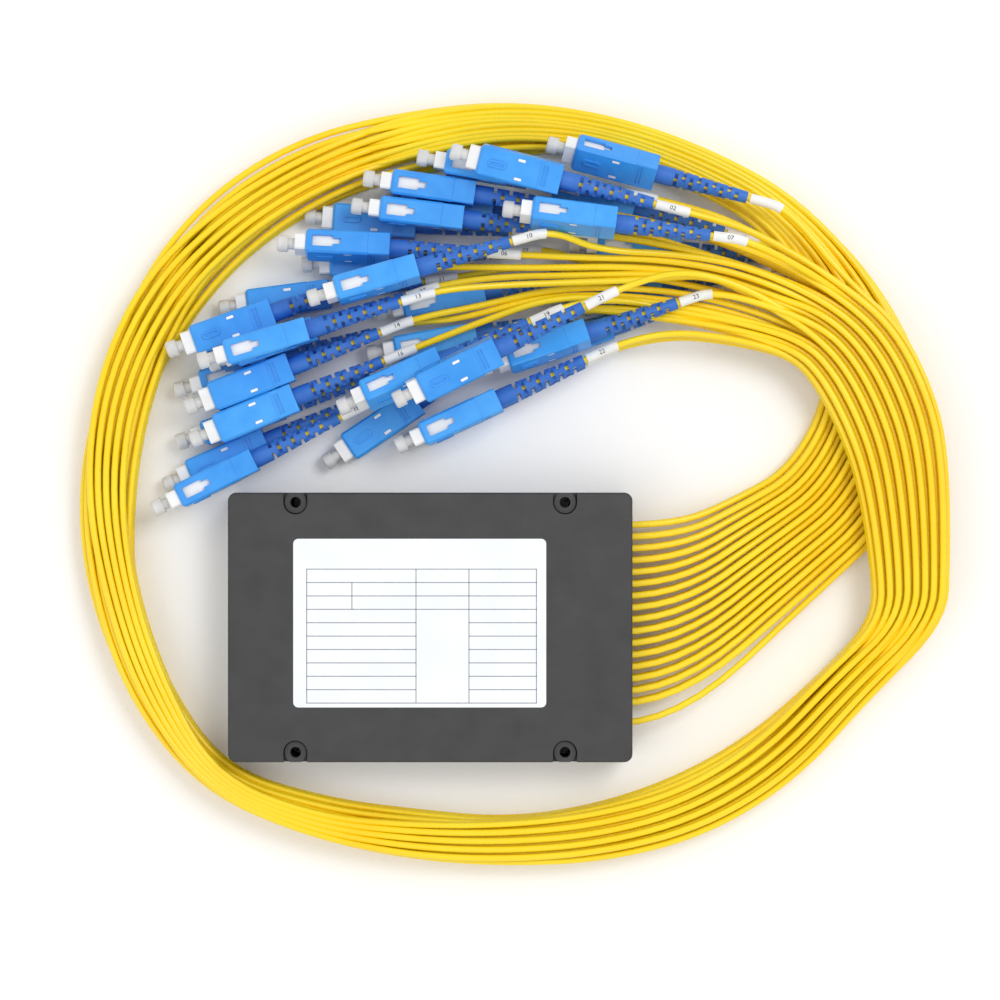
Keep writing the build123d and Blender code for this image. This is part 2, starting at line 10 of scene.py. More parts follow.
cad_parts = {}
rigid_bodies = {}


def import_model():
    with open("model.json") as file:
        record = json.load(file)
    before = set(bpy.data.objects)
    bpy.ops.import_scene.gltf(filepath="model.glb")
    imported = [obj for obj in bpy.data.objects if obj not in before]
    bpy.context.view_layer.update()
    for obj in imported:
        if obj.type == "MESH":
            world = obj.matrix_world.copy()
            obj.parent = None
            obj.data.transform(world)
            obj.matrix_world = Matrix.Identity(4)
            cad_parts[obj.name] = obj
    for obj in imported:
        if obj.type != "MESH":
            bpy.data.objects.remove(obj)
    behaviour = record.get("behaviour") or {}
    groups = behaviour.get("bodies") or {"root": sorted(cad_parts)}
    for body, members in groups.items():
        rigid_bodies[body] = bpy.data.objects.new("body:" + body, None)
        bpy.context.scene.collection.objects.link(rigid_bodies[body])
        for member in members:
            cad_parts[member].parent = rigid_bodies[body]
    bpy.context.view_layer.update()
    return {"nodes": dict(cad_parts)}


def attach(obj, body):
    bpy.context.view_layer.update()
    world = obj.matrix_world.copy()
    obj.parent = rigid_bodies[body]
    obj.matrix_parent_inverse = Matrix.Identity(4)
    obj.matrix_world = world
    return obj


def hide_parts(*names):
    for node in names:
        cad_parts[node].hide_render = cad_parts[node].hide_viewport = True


mm = 0.001

# Box and label
box_top = 18.0
label_thickness = 0.1
rule_width = 0.26
rule_height = 0.02
rule_corner = 0.05
table_rows = 10
last_full_rule = 3
narrow_rows = 2
table_left = -36.6
table_right = 31.5
table_top = 17.3
table_bottom = -22.4
split_columns = (-4.2, 11.5)
narrow_column = -23.2

# Leads
lead_d = 2.0
lead_start_x = 56.0
fan_straight_x = 74.0
exit_pitch = 3.55
exit_lanes = 16
exit_centre_y = 3.7
exit_row_z = (5.5, 11.0)
input_lane = 16
input_y = -28.8
middle_lane = 8
floor_gap = 0.05
layer_step = 2.1
strand_bottom_z = 9.7
loose_layer_step = 2.0
loose_from_station = 5
layer_wander = 1.1
loose_layer_wander = 1.8
lead_wander = 0.35
# How far the innermost lead drops inwards, by station of the coil, and how much less its upper one does
inner_lead_drop = {3: 3.0, 4: 4.0, 5: 2.0}
upper_drop_less = 0.4
# The wander's phase in radians, from one station, layer or lane to the next
layer_turn = 0.8
layer_turn_step = 0.25
layer_phase = 2.1
lead_turn = 1.7
lead_phase = 2.3

# Connector sizes, along its own X from the grip's front edge to the lead
grip_width = 9.0
grip_height = 7.4
key_height = 0.35
mark_length = 2.2
mark_width = 0.8
mark_centre = 12.6
mark_inset = 1.7
mark_floor = 0.25
mark_corner = 0.12
paint_recess = 0.04
crimp_end = 28.0
boot_end = 53.0
lift_inset = 2.0
sleeve_start = 54.0
sleeve_end = 64.0
sleeve_d = 3.0
tail_straight = 66.0
digit_height = 1.9
digit_gap = 0.05
digit_bands = 8
digit_font_steps = 2

# Stations of the leads between the exits and the coil: x, y, heading in degrees, lane pitch
fan_stations = [
    (104.0, 24.0, 40.0, 2.3),
    (123.5, 39.0, 62.0, 2.15),
    (136.0, 67.5, 86.0, 2.0),
    (126.6, 97.5, 122.0, 1.2),
]
# Outer and inner edge of the coil, counterclockwise from 45 degrees to 330 degrees
coil_stations = [
    (111.5, 130.5, 100.5, 119.0),
    (82.5, 145.5, 75.0, 132.0),
    (53.0, 154.5, 49.5, 141.0),
    (22.5, 158.5, 22.5, 143.5),
    (-8.0, 156.0, -3.0, 139.0),
    (-38.5, 147.0, -28.0, 130.5),
    (-66.5, 130.5, -51.5, 115.5),
    (-89.0, 106.0, -69.5, 96.0),
    (-102.0, 75.0, -83.0, 69.5),
    (-108.0, 41.5, -88.5, 41.5),
    (-103.5, 7.5, -87.0, 12.0),
    (-90.5, -24.0, -77.0, -16.0),
    (-68.5, -50.0, -61.0, -41.5),
    (-38.5, -64.5, -31.0, -52.0),
    (-8.0, -73.5, -3.5, -56.0),
    (22.5, -75.5, 22.5, -57.0),
    (53.0, -72.0, 47.5, -52.0),
    (83.0, -63.0, 71.5, -43.5),
    (110.5, -46.5, 94.5, -30.5),
    (133.5, -22.5, 116.0, -12.0),
]
# Stations where the strand rises over the coil and turns back to the connectors
return_stations = [
    (143.1, 2.0, 88.0, 1.25),
    (143.1, 19.9, 92.0, 1.35),
    (141.0, 45.0, 98.0, 1.6),
    (137.0, 62.0, 107.0, 1.8),
    (128.0, 80.5, 125.0, 1.85),
    (116.0, 92.0, 145.0, 1.7),
]

# Heap of connectors: front x, front y, heading and roll in degrees, lowest z, strand lane and layer
# pair, lift of the lead behind the boot, and the way points between number sleeve and strand
low = 0.0
middle = 9.3
upper = 18.6
heap = [
    (43.0, 141.5, -15.0, 45, middle, 16, 1, 0, []),
    (4.5, 138.5, -10.0, 90, middle, 15, 0, 0, [(92, 120.5, 14)]),
    (14.5, 138.5, -14.5, 12, upper, 15, 1, 0, [(97, 117.5, 17)]),
    (-11.5, 132.5, -8.2, 90, middle, 13, 1, 0, [(74, 119, 13), (100, 111, 14)]),
    (-29.5, 122.6, -4.0, 0, low, 12, 0, 0, [(52, 119.8, 9.3), (66, 116.5, 10.8), (86, 110, 10.6)]),
    (-15.0, 124.5, -6.7, 90, middle, 12, 1, 0, [(66, 114.5, 14), (90, 109, 14)]),
    (-37.0, 113.8, -2.7, 75, middle, 10, 1, 0, [(45, 110, 14.5), (70, 109.5, 14.5), (94, 105, 14.5)]),
    (30.0, 122.5, -7.4, 70, upper, 14, 1, 0, []),
    (37.0, 132.5, -15.5, 90, low, 14, 0, 0, [(111, 111.5, 8.5)]),
    (-30.5, 109.3, 3.5, 180, low, 10, 0, 0, [(46, 108.8, 9), (66, 108.3, 10), (92, 104, 10)]),
    (-27.5, 99.2, 15.8, 80, 20.4, 11, 1, 0, [(50, 111.8, 17.5), (74, 111, 15), (96, 107, 15)]),
    (-55.3, 96.5, 7.6, 180, low, 6, 0, 0, [(26, 107.8, 9.6), (50, 106.5, 10), (74, 103, 10), (95, 98, 10)]),
    (-70.5, 85.2, 19.5, 0, middle, 9, 1, 0,
     [(9, 107.3, 12.5), (32, 107, 13), (60, 107.5, 13.5), (84, 105, 13.5), (101, 99, 13.5)]),
    (-60.0, 81.0, 16.5, 90, upper, 5, 1, 0,
     [(20, 101.5, 18), (42, 102.5, 15), (66, 103.5, 14), (84, 105, 14), (100, 96, 14)]),
    (-65.0, 68.4, 21.2, 180, middle, 5, 0, 0,
     [(16, 96, 11), (36, 101, 10.5), (62, 101.5, 10.5), (88, 97.5, 10.5)]),
    (-69.0, 73.0, 16.2, 90, low, 4, 0, 0, [(9, 91.8, 10.6), (34, 99, 10.3), (60, 99, 10), (86, 95.5, 10)]),
    (-63.5, 58.8, 22.4, 180, middle, 4, 1, 0,
     [(14, 90.5, 12.5), (36, 98.5, 12.5), (58, 98, 11.3), (80, 95, 11)]),
    (-72.5, 45.4, 23.5, 0, low, 1, 1, 0,
     [(0, 77, 8), (12, 82.2, 11.5), (28, 91.5, 11), (50, 96, 10.4), (70, 93.5, 10.4), (91, 88, 11)]),
    (-75.0, 38.8, 26.3, 90, 7.5, 2, 1, 0,
     [(-3, 74.5, 11.5), (10, 80.6, 12), (26, 90.3, 11), (48, 95.5, 10.4), (68, 92.5, 10.4), (90, 89, 12)]),
    (-19.3, 68.4, 24.2, 65, 14.6, 3, 1, 0, [(56, 98, 12.5), (74, 94.2, 10.2), (92, 91, 12)]),
    (-25.0, 53.6, 33.7, 0, low, 2, 0, 6.5, [(42, 95.5, 10.6), (64, 93, 10.4), (88, 89, 10)]),
    (-2.5, 70.5, 26.5, 12, 26.2, 6, 1, 0, [(74, 106, 20), (92, 102, 16.5)]),
    (-2.5, 57.3, 24.7, 90, middle, 0, 1, 0, [(72, 88, 13), (90, 86, 13.5)]),
    (23.0, 79.6, 18.4, 75, middle, 7, 1, 0, []),
    (-8.5, 95.8, 11.2, 90, low, 8, 0, 0, [(69, 108.6, 9.8), (90, 104, 9.8)]),
    (-11.0, 83.2, 10.2, 90, low, 3, 0, 0, [(64, 96.3, 10.4), (82, 92, 10)]),
    (44.5, 99.7, 7.0, 0, low, 9, 0, 0, []),
    (-58.0, 80.8, 19.0, 90, middle, 8, 1, 0,
     [(22, 104.5, 12), (44, 104.8, 12.5), (66, 105.3, 13.5), (86, 104, 13.5), (102, 97, 13.5)]),
    (50.0, 114.3, -3.6, 90, low, 11, 0, 0, []),
    (30.4, 81.8, 18.4, 90, low, 7, 0, 0, []),
    (-2.5, 57.3, 24.2, 90, low, 0, 0, 0, [(74, 87, 9), (91, 85, 9.4)]),
    (-6.0, 129.8, -8.0, 90, low, 13, 0, 0, [(72, 119.3, 4.8), (90, 114, 9.3), (106, 106, 9.6)]),
    (-68.5, 57.7, 18.5, 90, low, 1, 0, 0,
     [(6, 80.5, 10.6), (20, 88.3, 10.8), (42, 95.5, 10.3), (64, 94, 10.3), (86, 89, 10)]),
]
lead_nodes = ("lead_coil", "return_strand", "input_lead", "output_lead_fan", "output_lead_tails")

# Camera and studio
view_centre = (20.7, 37.8)
view_width = 298.5
view_height_z = 12.0
camera_height = 900.0


# Nodes and materials

def hex_colour(code):
    channels = [int(code[i:i + 2], 16) / 255 for i in (1, 3, 5)]
    linear = [c / 12.92 if c <= 0.04045 else ((c + 0.055) / 1.055) ** 2.4 for c in channels]
    return (*linear, 1.0)


def add_node(tree, kind, values=None, links=None, **settings):
    node = tree.nodes.new(kind)
    for name, value in settings.items():
        setattr(node, name, value)
    for name, value in (values or {}).items():
        node.inputs[name].default_value = value
    for name, socket in (links or {}).items():
        tree.links.new(socket, node.inputs[name])
    return node


def new_finish(name, **shader_values):
    material = bpy.data.materials.new(name)
    material.use_nodes = True
    tree = material.node_tree
    tree.nodes.clear()
    shader = add_node(tree, "ShaderNodeBsdfPrincipled")
    for socket, value in shader_values.items():
        shader.inputs[socket.replace("_", " ")].default_value = value
    add_node(tree, "ShaderNodeOutputMaterial", links={"Surface": shader.outputs["BSDF"]})
    where = add_node(tree, "ShaderNodeTexCoord").outputs["Object"]
    return material, tree, shader, where


def noise(tree, where, grain_mm, detail=2.0):
    return add_node(tree, "ShaderNodeTexNoise", values={"Scale": 1 / (grain_mm * mm), "Detail": detail},
                    links={"Vector": where}).outputs["Fac"]


def tint(tree, shader, factor, from_code, to_code):
    ramp = add_node(tree, "ShaderNodeValToRGB", links={"Fac": factor})
    ramp.color_ramp.elements[0].position = 0.3
    ramp.color_ramp.elements[1].position = 0.7
    ramp.color_ramp.elements[0].color = hex_colour(from_code)
    ramp.color_ramp.elements[1].color = hex_colour(to_code)
    tree.links.new(ramp.outputs["Color"], shader.inputs["Base Color"])
    return ramp


def dull(tree, shader, factor, smooth, rough):
    span = add_node(tree, "ShaderNodeMapRange", values={"To Min": smooth, "To Max": rough},
                    links={"Value": factor})
    tree.links.new(span.outputs["Result"], shader.inputs["Roughness"])


def relief(tree, shader, height, depth_mm, edge_mm=0.0):
    bump = add_node(tree, "ShaderNodeBump", values={"Distance": depth_mm * mm, "Strength": 1.0},
                    links={"Height": height})
    if edge_mm:
        edge = add_node(tree, "ShaderNodeBevel", values={"Radius": edge_mm * mm}, samples=3)
        tree.links.new(edge.outputs["Normal"], bump.inputs["Normal"])
    tree.links.new(bump.outputs["Normal"], shader.inputs["Normal"])


def moulded_abs():
    # Spark-textured ABS: dark grey, dull, with a fine even grain. The grain is drawn 0.5 mm coarse to show
    finish, tree, shader, where = new_finish("moulded_abs_dark_grey", IOR=1.53)
    tint(tree, shader, noise(tree, where, 9.0), "#343435", "#3C3C3D")
    dull(tree, shader, noise(tree, where, 4.0), 0.5, 0.66)
    relief(tree, shader, noise(tree, where, 0.5, 3.0), 0.05, edge_mm=0.3)
    return finish


def coated_label():
    # Coated paper label: cool white, half gloss, almost smooth
    finish, tree, shader, where = new_finish("coated_label_paper", IOR=1.5)
    tint(tree, shader, noise(tree, where, 14.0), "#F1F4F9", "#F7F9FD")
    dull(tree, shader, noise(tree, where, 2.0), 0.32, 0.45)
    relief(tree, shader, noise(tree, where, 0.8), 0.006)
    return finish


def printed_rule():
    # Thin grey printing ink on the label
    finish, tree, shader, where = new_finish("grey_printing_ink", IOR=1.5)
    tint(tree, shader, noise(tree, where, 1.5), "#7F848C", "#979CA4")
    dull(tree, shader, noise(tree, where, 2.0), 0.4, 0.55)
    return finish


def pvc_jacket():
    # Extruded PVC jacket: saturated yellow, smooth and glossy. Between leads that lie close it glows orange,
    # because light passes from one lead to the next several times
    finish, tree, shader, where = new_finish("extruded_pvc_yellow", IOR=1.53)
    tint(tree, shader, noise(tree, where, 30.0), "#FFD60E", "#FFE222")
    dull(tree, shader, noise(tree, where, 6.0), 0.22, 0.34)
    relief(tree, shader, noise(tree, where, 2.5), 0.008)
    return finish


def moulded_pbt(number):
    # Glossy PBT housing: bright blue with soft sheen. Each batch differs a little in shade
    shades = (("#3099F1", "#3FA4F7"), ("#2C93EB", "#3C9FF5"), ("#359CF3", "#45A9F9"))
    finish, tree, shader, where = new_finish(f"moulded_pbt_blue_{number + 1}", IOR=1.57)
    tint(tree, shader, noise(tree, where, 7.0), *shades[number])
    dull(tree, shader, noise(tree, where, 3.0), 0.28, 0.42)
    relief(tree, shader, noise(tree, where, 0.7), 0.012, edge_mm=0.25)
    return finish


def soft_boot():
    # Moulded thermoplastic rubber: deeper blue than the housing and duller
    finish, tree, shader, where = new_finish("moulded_rubber_blue", IOR=1.5)
    tint(tree, shader, noise(tree, where, 5.0), "#2A68C0", "#3474CC")
    dull(tree, shader, noise(tree, where, 2.0), 0.45, 0.6)
    relief(tree, shader, noise(tree, where, 0.6), 0.02)
    return finish


def white_pbt():
    # White PBT plug frame: clean, slightly warm, half gloss
    finish, tree, shader, where = new_finish("moulded_pbt_white", IOR=1.57)
    tint(tree, shader, noise(tree, where, 5.0), "#ECECEA", "#F6F6F5")
    dull(tree, shader, noise(tree, where, 2.0), 0.3, 0.42)
    relief(tree, shader, noise(tree, where, 0.6), 0.01)
    return finish


def soft_cap():
    # Low-density polythene cap: milky, lets light through, waxy surface
    finish, tree, shader, where = new_finish("polythene_milky", IOR=1.51, Transmission_Weight=0.35)
    tint(tree, shader, noise(tree, where, 3.0), "#F0F0EE", "#FAFAF9")
    dull(tree, shader, noise(tree, where, 1.5), 0.3, 0.45)
    relief(tree, shader, noise(tree, where, 0.8), 0.015)
    return finish


def zirconia():
    # Ground zirconia ceramic: white, hard, polished
    finish, tree, shader, where = new_finish("ground_zirconia", IOR=2.1)
    tint(tree, shader, noise(tree, where, 2.0), "#EDEDE9", "#F5F5F2")
    dull(tree, shader, noise(tree, where, 1.0), 0.1, 0.18)
    return finish


def nickel_plate():
    # Nickel plate on turned brass: warm grey metal with fine turning marks
    finish, tree, shader, where = new_finish("nickel_plated_brass", Metallic=1.0)
    tint(tree, shader, noise(tree, where, 1.5), "#BDB8AE", "#CFCBC2")
    dull(tree, shader, noise(tree, where, 0.5), 0.25, 0.4)
    return finish


def stainless_tube():
    # Drawn stainless tube: cool grey metal, drawing marks along it
    finish, tree, shader, where = new_finish("drawn_stainless", Metallic=1.0)
    along = add_node(tree, "ShaderNodeMapping", values={"Scale": (0.05, 1.0, 1.0)}, links={"Vector": where})
    streaks = noise(tree, along.outputs["Vector"], 0.3)
    tint(tree, shader, streaks, "#B4B6B8", "#C8CACB")
    dull(tree, shader, streaks, 0.3, 0.45)
    return finish


def silica():
    # Ground silica block: grey-white, frosted faces
    finish, tree, shader, where = new_finish("ground_silica", IOR=1.46)
    tint(tree, shader, noise(tree, where, 1.0), "#D5DAE0", "#E6EAEE")
    dull(tree, shader, noise(tree, where, 0.4), 0.35, 0.5)
    return finish


def coated_fibre():
    # Acrylate-coated fibre: pale blue, glossy
    finish, tree, shader, where = new_finish("acrylate_coating", IOR=1.5)
    tint(tree, shader, noise(tree, where, 4.0), "#A9CFE6", "#BFDDEE")
    dull(tree, shader, noise(tree, where, 2.0), 0.2, 0.32)
    return finish


def sealing_rubber():
    # Moulded sealing rubber: near black, dull
    finish, tree, shader, where = new_finish("sealing_rubber", IOR=1.52)
    tint(tree, shader, noise(tree, where, 2.0), "#232323", "#2E2E2E")
    dull(tree, shader, noise(tree, where, 1.0), 0.6, 0.75)
    return finish


def foam_tape():
    # Closed-cell foam tape: grey, with cells of about 0.5 mm
    finish, tree, shader, where = new_finish("closed_cell_foam", IOR=1.4)
    cells = add_node(tree, "ShaderNodeTexVoronoi", values={"Scale": 1 / (0.5 * mm)}, links={"Vector": where})
    tint(tree, shader, cells.outputs["Distance"], "#8E8E8E", "#A5A5A5")
    dull(tree, shader, cells.outputs["Distance"], 0.7, 0.85)
    relief(tree, shader, cells.outputs["Distance"], 0.05)
    return finish


def sleeve_pvc():
    # White PVC number sleeve: smooth, half gloss
    finish, tree, shader, where = new_finish("extruded_pvc_white", IOR=1.53)
    tint(tree, shader, noise(tree, where, 4.0), "#E9EAE6", "#F4F4F1")
    dull(tree, shader, noise(tree, where, 2.0), 0.3, 0.42)
    relief(tree, shader, noise(tree, where, 0.8), 0.01)
    return finish


def print_ink():
    # Black hot-stamped foil of the sleeve's number
    finish, tree, shader, where = new_finish("stamped_black_ink", IOR=1.5)
    tint(tree, shader, noise(tree, where, 0.6), "#1B1B1D", "#303033")
    dull(tree, shader, noise(tree, where, 0.6), 0.35, 0.5)
    return finish


def mark_paint():
    # White paint in the housing's two marks
    finish, tree, shader, where = new_finish("white_mark_paint", IOR=1.5)
    tint(tree, shader, noise(tree, where, 1.0), "#EFF3F7", "#FAFBFC")
    dull(tree, shader, noise(tree, where, 0.8), 0.4, 0.55)
    return finish


def paper_floor():
    # Matt white paper sweep: almost even, no sheen. It is seen whiter than it lights the pieces
    finish, tree, shader, where = new_finish("white_paper", IOR=1.4)
    shader.inputs["Specular IOR Level"].default_value = 0.0
    even = tint(tree, shader, noise(tree, where, 160.0), "#F6F5F3", "#F9F8F7")
    rays = add_node(tree, "ShaderNodeLightPath").outputs
    seen = add_node(tree, "ShaderNodeMath", operation="MAXIMUM",
                    links={0: rays["Is Camera Ray"], 1: rays["Is Glossy Ray"]})
    seen = add_node(tree, "ShaderNodeMath", operation="MAXIMUM",
                    links={0: seen.outputs[0], 1: rays["Is Transmission Ray"]})
    white = add_node(tree, "ShaderNodeMixRGB",
                     links={"Fac": seen.outputs[0], "Color1": even.outputs["Color"]})
    white.inputs["Color2"].default_value = (1.0, 1.0, 1.0, 1.0)
    tree.links.new(white.outputs["Color"], shader.inputs["Base Color"])
    dull(tree, shader, noise(tree, where, 60.0), 0.9, 1.0)
    return finish


def set_finish(thing, finish):
    thing.data.materials.clear()
    thing.data.materials.append(finish)


# Camera and studio

def make_camera():
    camera = bpy.data.objects.new("camera", bpy.data.cameras.new("camera"))
    bpy.context.scene.collection.objects.link(camera)
    camera.location = Vector((*view_centre, camera_height)) * mm
    camera.data.sensor_fit = "HORIZONTAL"
    camera.data.lens = camera.data.sensor_width * (camera_height - view_height_z) / view_width
    camera.data.clip_end = 20.0
    bpy.context.scene.camera = camera


def area_light(name, place, size, power):
    light = bpy.data.lights.new(name, "AREA")
    light.size = size
    light.energy = power
    lamp = bpy.data.objects.new(name, light)
    bpy.context.scene.collection.objects.link(lamp)
    lamp.location = place
    aim = Vector((view_centre[0] * mm, view_centre[1] * mm, 0)) - lamp.location
    lamp.rotation_euler = aim.to_track_quat("-Z", "Y").to_euler()


def make_studio():
    area_light("key", (0.55, 0.45, 1.1), 0.55, 5.5)
    area_light("fill", (-0.75, -0.5, 0.9), 1.0, 2.9)
    world = bpy.data.worlds.new("studio")
    bpy.context.scene.world = world
    world.use_nodes = True
    world.node_tree.nodes["Background"].inputs["Color"].default_value = hex_colour("#FFFFFF")
    world.node_tree.nodes["Background"].inputs["Strength"].default_value = 0.73
    bpy.context.scene.view_settings.view_transform = "Standard"


def make_floor(finish):
    mesh = bpy.data.meshes.new("floor")
    reach = 3.0
    corners = [(-reach, -reach, 0), (reach, -reach, 0), (reach, reach, 0), (-reach, reach, 0)]
    mesh.from_pydata(corners, [], [(0, 1, 2, 3)])
    floor = bpy.data.objects.new("floor", mesh)
    bpy.context.scene.collection.objects.link(floor)
    set_finish(floor, finish)


# Pieces made of meshes

def new_piece(name, bm, finish, body="splitter"):
    mesh = bpy.data.meshes.new(name)
    bm.to_mesh(mesh)
    bm.free()
    for face in mesh.polygons:
        face.use_smooth = False
    piece = bpy.data.objects.new(name, mesh)
    bpy.context.scene.collection.objects.link(piece)
    set_finish(piece, finish)
    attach(piece, body)
    return piece


def add_slab(bm, centre, size, place=Matrix(), corner=0.0):
    """A flat slab with its corners cut off, set at a place."""
    half_x, half_y, half_z = (value / 2 for value in size)
    outline = []
    for side_x, side_y in ((1, 1), (-1, 1), (-1, -1), (1, -1)):
        cut_x = (side_x * half_x, side_y * (half_y - corner))
        cut_y = (side_x * (half_x - corner), side_y * half_y)
        outline += [cut_x, cut_y] if side_x == side_y else [cut_y, cut_x]
    rings = []
    for z in (-half_z, half_z):
        points = [Vector((x, y, z)) + Vector(centre) for x, y in outline]
        rings.append([bm.verts.new((place @ point) * mm) for point in points])
    count = len(outline)
    for i in range(count):
        j = (i + 1) % count
        bm.faces.new((rings[0][i], rings[0][j], rings[1][j], rings[1][i]))
    bm.faces.new(reversed(rings[0]))
    bm.faces.new(rings[1])


def make_label_table(finish):
    bm = bmesh.new()
    z = box_top + label_thickness + rule_height / 2
    width = table_right - table_left
    height = table_top - table_bottom
    row = height / table_rows
    for line in range(table_rows + 1):
        y = table_top - line * row
        spans = [(table_left, table_right)]
        if last_full_rule < line < table_rows:
            spans = [(table_left, split_columns[0]), (split_columns[1], table_right)]
        for left, right in spans:
            size = (right - left + rule_width, rule_width, rule_height)
            add_slab(bm, ((left + right) / 2, y, z), size, corner=rule_corner)
    for x in (table_left, table_right, *split_columns):
        centre = (x, (table_top + table_bottom) / 2, z)
        add_slab(bm, centre, (rule_width, height, rule_height), corner=rule_corner)
    size = (rule_width, narrow_rows * row, rule_height)
    add_slab(bm, (narrow_column, table_top - narrow_rows * row, z), size, corner=rule_corner)
    new_piece("label_table", bm, finish)


def connector_place(entry):
    x, y, heading, roll, bottom = entry[:5]
    tilt = radians(roll)
    axis_z = bottom + (abs(cos(tilt)) * grip_height + abs(sin(tilt)) * grip_width) / 2
    axis_z += max(0, -cos(tilt)) * key_height
    turned = Matrix.Rotation(radians(heading), 4, "Z") @ Matrix.Rotation(tilt, 4, "X")
    return Matrix.Translation((x, y, axis_z)) @ turned


def make_grip_marks(number, entry, finish):
    bm = bmesh.new()
    place = connector_place(entry)
    thickness = mark_floor - paint_recess
    for face in (-1, 1):
        for side in (-1, 1):
            y = side * (grip_width / 2 - mark_inset)
            z = face * (grip_height / 2 - mark_floor + thickness / 2)
            add_slab(bm, (mark_centre, y, z), (mark_length, mark_width, thickness), place, corner=mark_corner)
    new_piece(f"grip_marks_{number:02d}", bm, finish, body=f"grip_{number:02d}")


# Leads

def lane_point(station, lane, z):
    x, y, heading, pitch = station
    offset = (lane - middle_lane) * pitch
    return x + offset * sin(radians(heading)), y - offset * cos(radians(heading)), z


def coil_point(index, lane, row):
    """A lead's place in the coil: in four tight layers under the connectors, in six loose ones elsewhere."""
    outer = Vector(coil_stations[index][:2])
    inner = Vector(coil_stations[index][2:])
    if index < loose_from_station:
        layer = 2 * row + lane % 2
        z = floor_gap + lead_d / 2 + layer_step * layer
        swing = layer_wander
    else:
        layer = 3 * row + lane % 3
        z = floor_gap + lead_d / 2 + loose_layer_step * layer
        swing = loose_layer_wander
    wander = swing * sin((layer_turn + layer_turn_step * (layer % 3)) * index + layer_phase * layer)
    wander += lead_wander * sin(lead_turn * index + lead_phase * lane)
    width = (outer - inner).length
    edge = lead_d / 2 + swing
    along_width = edge + lane / input_lane * (width - 2 * edge) + wander
    if lane == 0:
        along_width -= inner_lead_drop.get(index, 0.0) * (1 - upper_drop_less * row)
    spot = inner + (outer - inner).normalized() * along_width
    return spot.x, spot.y, z


def lead_route(entry):
    lane, row, lift, way = entry[5:]
    layer = 2 * row + lane % 2
    fan_z = floor_gap + lead_d / 2 + layer_step * layer
    strand_z = strand_bottom_z + layer_step * layer
    exit_y = exit_centre_y + ((exit_lanes - 1) / 2 - lane) * exit_pitch
    if lane == input_lane:
        exit_y = input_y
    points = [(lead_start_x, exit_y, exit_row_z[row]), (fan_straight_x, exit_y, exit_row_z[row])]
    points += [lane_point(station, lane, fan_z) for station in fan_stations]
    points += [coil_point(index, lane, row) for index in range(len(coil_stations))]
    points += [lane_point(station, lane, strand_z) for station in return_stations]
    points += reversed(way)
    place = connector_place(entry)
    points.append(place @ Vector((tail_straight, 0, 0)) + Vector((0, 0, lift)))
    if lift:
        points.append(place @ Vector((boot_end - lift_inset, 0, 0)))
    else:
        points.append(place @ Vector((sleeve_start, 0, 0)))
    points.append(place @ Vector((crimp_end, 0, 0)))
    return exit_y, [Vector(point) for point in points]


def lead_curve(name, points):
    curve = bpy.data.curves.new(name, "CURVE")
    curve.dimensions = "3D"
    curve.resolution_u = 6
    spline = curve.splines.new("NURBS")
    spline.points.add(len(points) - 1)
    for knot, point in zip(spline.points, points):
        knot.co = (*(point * mm), 1.0)
    spline.order_u = 3
    spline.use_endpoint_u = True
    return curve


def bare_line(lead):
    line = lead.data.copy()
    line.bevel_depth = 0.0
    carrier = bpy.data.objects.new("bare_line", line)
    bpy.context.scene.collection.objects.link(carrier)
    return carrier


def to_mesh(thing):
    bpy.context.view_layer.update()
    return bpy.data.meshes.new_from_object(thing.evaluated_get(bpy.context.evaluated_depsgraph_get()))


def line_length(lead):
    carrier = bare_line(lead)
    points = [vertex.co for vertex in to_mesh(carrier).vertices]
    bpy.data.objects.remove(carrier)
    return sum((after - here).length for here, after in zip(points, points[1:]))


def make_lead(number, entry, finish):
    exit_y, points = lead_route(entry)
    curve = lead_curve(f"lead_{number:02d}", points)
    curve.bevel_depth = lead_d / 2 * mm
    curve.bevel_resolution = 3
    curve.use_fill_caps = True
    lead = bpy.data.objects.new(curve.name, curve)
    bpy.context.scene.collection.objects.link(lead)
    set_finish(lead, finish)
    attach(lead, "splitter")
    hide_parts(*lead_nodes)
    # The photo shows each lead from end to end. Its route's length is worked out here to the centimetre, but
    # the value is not kept
    round(line_length(lead), 2)
    return lead


# Number sleeves on the leads

